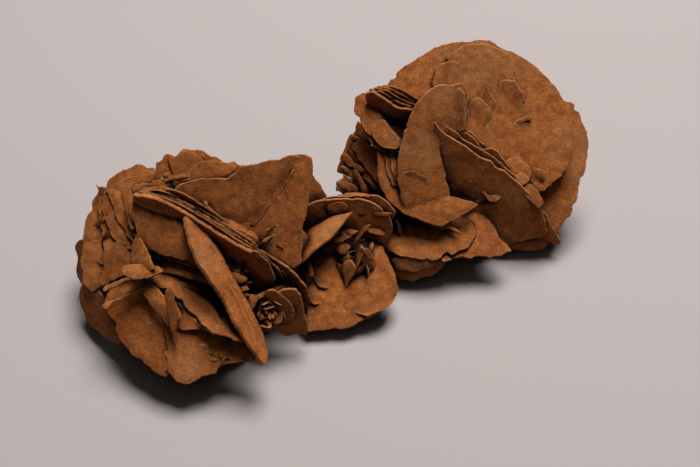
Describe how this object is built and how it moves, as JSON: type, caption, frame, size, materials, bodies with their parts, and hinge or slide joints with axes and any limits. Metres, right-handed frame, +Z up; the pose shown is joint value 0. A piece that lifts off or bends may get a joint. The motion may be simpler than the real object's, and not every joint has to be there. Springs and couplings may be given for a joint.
{
  "type": "gypsum sand rose",
  "caption": "Desert rose: thin lens-shaped gypsum blades grown through one another in two joined clusters, coated with brown desert sand, lying on its own flat spots.",
  "frame": {"origin": "on the ground under the middle of the stone's bounding box", "axes": "+Z up from the ground it lies on, +X along the length from the rough cluster to the cluster with the great disc, +Y away from the side that the great disc faces"},
  "size_m": [0.1838, 0.0804, 0.0675],
  "materials": {
    "sand_gypsum": "matte sandy gypsum with a faint waxy sheen on the blade rims"
  },
  "bodies": {
    "root": {"sand_rose": "sand_gypsum"}
  },
  "joints": []
}
